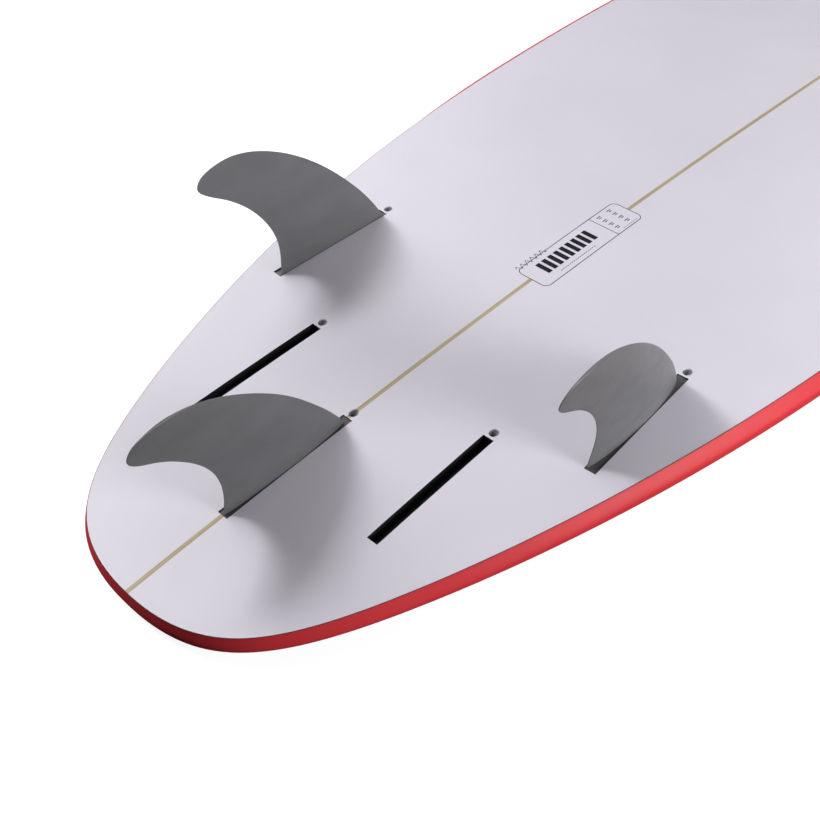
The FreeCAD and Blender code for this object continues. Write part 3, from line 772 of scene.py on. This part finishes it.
def threads(tree, scale, distortion, **settings):
    """Evenly spaced soft bands, slightly distorted."""
    inputs = {"Vector": place_of(tree), "Scale": scale, "Distortion": distortion}
    return add(tree, "TexWave", inputs, **settings).outputs["Fac"]


def maths(tree, operation, a, b=0.0):
    """The result of one arithmetic step."""
    return add(tree, "Math", {0: a, 1: b}, operation=operation).outputs[0]


def mix(tree, share, a, b):
    """Colour a where share is 0, b where it is 1."""
    made = add(tree, "Mix", {0: share, 6: a, 7: b}, data_type="RGBA")
    return made.outputs[2]


def blend(tree, share, pair):
    """The first colour of a pair where share is 0, the second where it is 1."""
    return mix(tree, share, colour(*pair[0]), colour(*pair[1]))


def surface(tree, shader, tone, roughness, relief, distance, strength):
    """Links a material's colour and roughness, and its relief over this distance in metres."""
    tree.links.new(tone, shader.inputs["Base Color"])
    tree.links.new(roughness, shader.inputs["Roughness"])
    bump(tree, shader, relief, distance, strength)


def bump(tree, shader, height, distance, strength):
    """Fine relief, distance in metres."""
    made = add(tree, "Bump", {"Height": height, "Distance": distance, "Strength": strength})
    tree.links.new(made.outputs["Normal"], shader.inputs["Normal"])


def colour(r, g, b):
    """An opaque colour."""
    return (r, g, b, 1.0)


def near_zero(tree, value, half, soft):
    """1 where a value is within half of zero, falling to 0 over soft."""
    away = maths(tree, "ABSOLUTE", value)
    spread = {"Value": away, "From Min": half - soft, "From Max": half + soft, "To Min": 1.0, "To Max": 0.0}
    return add(tree, "MapRange", spread).outputs["Result"]


def laminate(name, whites):
    """Glass cloth and resin over white foam, with the wooden stringer seen through it."""
    made, tree, shader = new_material(name, Roughness=0.38, Specular_IOR_Level=RESIN_GLOSS)
    body = blend(tree, noise(tree, 9.0), whites)
    along = threads(tree, WEAVE, WEAVE_WAVER, bands_direction="X")
    across = threads(tree, WEAVE, WEAVE_WAVER, bands_direction="Y")
    weave = maths(tree, "MULTIPLY", along, across)
    side = add(tree, "SeparateXYZ", {0: place_of(tree)}).outputs["Y"]
    wander = maths(tree, "ADD", side, noise(tree, 12.0, -STRINGER_WANDER, STRINGER_WANDER))
    inside = near_zero(tree, wander, STRINGER / 2, STRINGER_SOFT)
    grain = noise(tree, 60.0, stretch=(0.25, 14, 1), detail=5.0)
    tone = mix(tree, inside, body, blend(tree, grain, STRINGER_TAN))
    surface(tree, shader, tone, noise(tree, 40.0, 0.34, 0.42), weave, CLOTH_RELIEF, 0.5)
    return made


def pigment(name, pair, cloud_scale, sheen_scale, roughness):
    """Pigment in polished resin."""
    made, tree, shader = new_material(name, Specular_IOR_Level=PIGMENT_GLOSS)
    tone = blend(tree, noise(tree, cloud_scale), pair)
    sheen = noise(tree, sheen_scale, *roughness)
    surface(tree, shader, tone, sheen, noise(tree, RESIN_GRAIN), FINE_RELIEF, 0.4)
    return made


def moulded(name, pair, roughness, grain_depth):
    """Moulded plastic with a fine grain, faint flow marks and uneven sheen."""
    made, tree, shader = new_material(name)
    flow = noise(tree, 26.0, stretch=(1, 1, 2.5))
    speck = noise(tree, MOULD_GRAIN, -SPECK, SPECK)
    tone = blend(tree, maths(tree, "ADD", flow, speck), pair)
    sheen = noise(tree, 90.0, roughness - SHEEN_SPREAD, roughness + SHEEN_SPREAD)
    surface(tree, shader, tone, sheen, noise(tree, MOULD_GRAIN), grain_depth, 0.6)
    return made


def fin_plastic(name, painted_light_share):
    """The fins' grey moulding, its grey scaled by a share that paints light or shade on it."""
    greys = [tuple(part * painted_light_share for part in tone) for tone in FIN_GREY]
    return moulded(name, greys, 0.42, MOULD_RELIEF)


def moulded_box(name):
    """The dark plastic of the fin boxes and of the holes' edges."""
    return moulded(name, BOX_BLACK, 0.45, COARSE_RELIEF)


def resin_lined(made, node, name):
    """Resin down the wall of a fin box's screw mouth, in a grey well below the skin's white: painted shade
    for the inside of the mouth.
    """
    tree = made.node_tree
    shader = tree.nodes["Principled BSDF"]
    plastic = shader.inputs["Base Color"].links[0].from_socket
    hole = frame["nodes"][node].matrix_world.inverted() @ AT_REST @ screw_frame(name)
    axis = hole.col[2].to_3d()
    where = add(tree, "TexCoord").outputs["Object"]
    away = add(tree, "VectorMath", {0: where, 1: hole.translation}, operation="SUBTRACT").outputs[0]
    off = add(tree, "VectorMath", {0: away, 1: axis}, operation="CROSS_PRODUCT").outputs[0]
    distance = add(tree, "VectorMath", {0: off}, operation="LENGTH").outputs["Value"]
    height = add(tree, "VectorMath", {0: away, 1: axis}, operation="DOT_PRODUCT").outputs["Value"]
    lining = near_zero(tree, distance, MOUTH_RADIUS + LINING, LINING)
    above = maths(tree, "GREATER_THAN", height, -SCREW_SUNK - LINING)
    share = maths(tree, "MULTIPLY", lining, above)
    # the lining's grey is painted shade
    tree.links.new(mix(tree, share, plastic, colour(*MOUTH_PAINTED_SHADE)), shader.inputs["Base Color"])


def steel():
    """Machined stainless steel with turning marks."""
    made, tree, shader = new_material("screw_steel", Metallic=1.0)
    marks = noise(tree, 5000.0, stretch=(1, 1, 0.2))
    surface(tree, shader, blend(tree, marks, STEEL_GREY), noise(tree, 3000.0, 0.28, 0.42),
            marks, FINE_RELIEF, 0.5)
    return made


def foam(name, pair, beads):
    """Expanded foam: rounded beads with darker joints, this many to the metre."""
    made, tree, shader = new_material(name, Roughness=0.85)
    cells = add(tree, "TexVoronoi", {"Vector": place_of(tree), "Scale": beads}).outputs["Distance"]
    surface(tree, shader, blend(tree, cells, pair), noise(tree, 200.0, 0.8, 0.95), cells, FOAM_RELIEF, 0.5)
    return made


def wood():
    """The stringer's straight-grained light wood."""
    made, tree, shader = new_material("stringer_wood", Roughness=0.6)
    rings = noise(tree, 60.0, stretch=(0.2, 8, 8), detail=6.0)
    surface(tree, shader, blend(tree, rings, STRINGER_WOOD), noise(tree, 120.0, 0.5, 0.7),
            rings, WOOD_RELIEF, 0.5)
    return made


def fabric():
    """The vent's porous membrane."""
    made, tree, shader = new_material("membrane_fabric", Roughness=0.9)
    cloth = threads(tree, MEMBRANE_WEAVE, MEMBRANE_WAVER)
    surface(tree, shader, blend(tree, cloth, MEMBRANE_WHITE), noise(tree, 500.0, 0.8, 0.95),
            cloth, MEMBRANE_RELIEF, 0.6)
    return made


def paper(name, pair, gloss):
    """Printed tissue under resin: faint fibres."""
    made, tree, shader = new_material(name, Roughness=0.4, Specular_IOR_Level=gloss)
    fibres = noise(tree, 900.0, stretch=(1, 3, 1))
    surface(tree, shader, blend(tree, fibres, pair), noise(tree, 300.0, 0.36, 0.44),
            fibres, CLOTH_RELIEF, 0.4)
    return made


# === building it =========================================================================

def dress(node, material):
    """Gives a CAD node its material."""
    for slot in frame["nodes"][node].material_slots:
        slot.material = material


def make_board():
    """The two skins and the rail, and the dark line where their colours meet."""
    box_plastic = moulded_box("box_plastic")
    bottom_material = laminate("bottom_white", BOTTOM_WHITE)
    deck_material = laminate("deck_white", DECK_WHITE)
    bottom, slots, mouths = make_bottom_skin()
    deck, holes = make_deck_skin()
    for cutter in slots + holes:
        cutter.data.materials.append(box_plastic)
    for cutter in mouths:
        cutter.data.materials.append(bottom_material)
    bottom.data.materials.append(bottom_material)
    deck.data.materials.append(deck_material)
    rail = make_rail_skin()
    rail.data.materials.append(pigment("rail_red", RAIL_RED, 14.0, 60.0, (0.46, 0.54)))
    line = make_edge_line()
    line.data.materials.append(pigment("edge_line", DARK_RED, 40.0, 90.0, (0.44, 0.54)))
    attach(line, "board")
    combine(bottom, slots + mouths, "DIFFERENCE")
    combine(deck, holes, "DIFFERENCE")
    for skin, node, slot in ((bottom, "bottom_skin", "bottom_white"), (rail, "rail_skin", "rail_red"),
                             (deck, "deck_skin", "deck_white")):
        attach(skin, "board")
        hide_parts(node)


def make_label():
    """The printed sheet and its ink."""
    half = LABEL_WIDTH / 2
    outline = rounded(LABEL_REAR, LABEL_REAR + LABEL_LENGTH, -half, half, LABEL_CORNER)
    sheet = flat_sheet("label_sheet", [(outline, None)], LABEL_LIFT, LABEL_THICKNESS)
    sheet.data.materials.append(paper("label_paper", LABEL_WHITE, RESIN_GLOSS))
    ink = flat_sheet("label_print", label_marks(), LABEL_LIFT + LABEL_THICKNESS, INK_THICKNESS)
    ink.data.materials.append(paper("label_ink", LABEL_INK, INK_GLOSS))
    for piece in (sheet, ink):
        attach(piece, "board")
    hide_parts("label")


def make_fins():
    """The three fins, in greys that hold painted light and shade: the right fin lighter, the middle fin
    darker and the tabs darker still.
    """
    # the tabs are painted darker, for the shade they sit in within their slots
    tab_painted_shade_plastic = fin_plastic("tab_painted_shade_plastic", TAB_PAINTED_SHADE)
    for name, outline, slot, body, outward, painted_light_share in (
            ("left_fin", SIDE_OUTLINE, "left_front", "fin_left", 1, LEFT_SHADE),
            ("right_fin", SIDE_OUTLINE, "right_front", "fin_right", -1, RIGHT_PAINTED_LIGHT),
            ("middle_fin", CENTER_OUTLINE, "center", "fin_center", 0, MIDDLE_PAINTED_SHADE)):
        plastic = fin_plastic(name + "_plastic", painted_light_share)
        make_fin(name, outline, slot, body, outward, plastic, tab_painted_shade_plastic)


def dress_cad_nodes():
    """Materials of the pieces that keep their CAD shape."""
    screw = steel()
    bed = foam("bed_foam", BED_FOAM, BED_BEADS)
    for name in FIN_PLACES:
        box = moulded_box("box_plastic_" + name)
        resin_lined(box, "fin_box_" + name, name)
        dress("fin_box_" + name, box)
        dress("grub_screw_" + name, screw)
        dress("box_bed_" + name, bed)
    core = foam("core_foam", CORE_FOAM, CORE_BEADS)
    dress("core_left", core)
    dress("core_right", core)
    dress("stringer", wood())
    dress("leash_cup", moulded("plug_plastic", PLUG_BLACK, 0.35, MOULD_RELIEF))
    dress("leash_bar", screw)
    vent = moulded("vent_plastic", VENT_GREY, 0.35, MOULD_RELIEF)
    dress("vent_body", vent)
    dress("vent_screw", vent)
    dress("vent_seal", moulded("seal_rubber", SEAL_BLACK, 0.6, COARSE_RELIEF))
    dress("vent_membrane", fabric())


# === studio ==============================================================================

def make_camera():
    """The camera, CAMERA_AWAY back from the point it looks at."""
    data = bpy.data.cameras.new("camera")
    data.lens = LENS_MM
    camera = bpy.data.objects.new("camera", data)
    turn = (Matrix.Rotation(-CAMERA_AZIMUTH, 4, "Z") @ Matrix.Rotation(math.pi / 2 - CAMERA_DOWN, 4, "X")
            @ Matrix.Rotation(CAMERA_ROLL, 4, "Z"))
    back = turn @ Vector((0, 0, CAMERA_AWAY))
    camera.matrix_world = Matrix.Translation(Vector(CAMERA_TARGET) + back) @ turn
    bpy.context.scene.collection.objects.link(camera)
    bpy.context.scene.camera = camera


def make_floor():
    """The pale floor, and pale walls round it for the low views."""
    made, _, shader = new_material("floor_white", Roughness=0.9, Emission_Strength=FLOOR_GLOW)
    shader.inputs["Base Color"].default_value = colour(*FLOOR_GREY)
    shader.inputs["Emission Color"].default_value = colour(*WHITE)
    plan = [(x * FLOOR_HALF, y * FLOOR_HALF) for x, y in ((-1, -1), (1, -1), (1, 1), (-1, 1))]
    rims = [(x, y, z) for z in (0, BACKDROP_HEIGHT) for x, y in plan]
    sides = [(i, (i + 1) % 4, (i + 1) % 4 + 4, i + 4) for i in range(4)]
    # they show pale but do not light the board
    for name, corners, faces in (("floor", rims[:4], [(0, 1, 2, 3)]), ("backdrop", rims, sides)):
        mesh = bpy.data.meshes.new(name)
        mesh.from_pydata(corners, [], faces)
        mesh.materials.append(made)
        piece = bpy.data.objects.new(name, mesh)
        bpy.context.scene.collection.objects.link(piece)
        piece.visible_shadow = name == "floor"
        piece.visible_diffuse = False
        piece.visible_glossy = False


def soft_light(name, azimuth, elevation, distance, size, watts):
    """A square soft box that faces the middle of the view."""
    data = bpy.data.lights.new(name, "AREA")
    data.shape = "SQUARE"
    data.size = size
    data.energy = watts
    lamp = bpy.data.objects.new(name, data)
    turn, rise = math.radians(azimuth), math.radians(elevation)
    way = Vector((math.cos(turn) * math.cos(rise), math.sin(turn) * math.cos(rise), math.sin(rise)))
    lamp.location = Vector(CAMERA_TARGET) + way * distance
    lamp.rotation_euler = way.to_track_quat("Z", "Y").to_euler()
    bpy.context.scene.collection.objects.link(lamp)


def make_studio():
    """The soft boxes and a faint even light all round."""
    for light in SOFT_BOXES:
        soft_light(*light)
    world = bpy.data.worlds.new("studio")
    world.use_nodes = True
    glow = world.node_tree.nodes["Background"]
    glow.inputs["Color"].default_value = colour(*WHITE)
    glow.inputs["Strength"].default_value = WORLD_LIGHT
    bpy.context.scene.world = world
    bpy.context.scene.view_settings.view_transform = "Standard"


def main():
    """Everything in the scene."""
    make_camera()
    make_board()
    make_label()
    make_fins()
    dress_cad_nodes()
    make_floor()
    make_studio()


main()
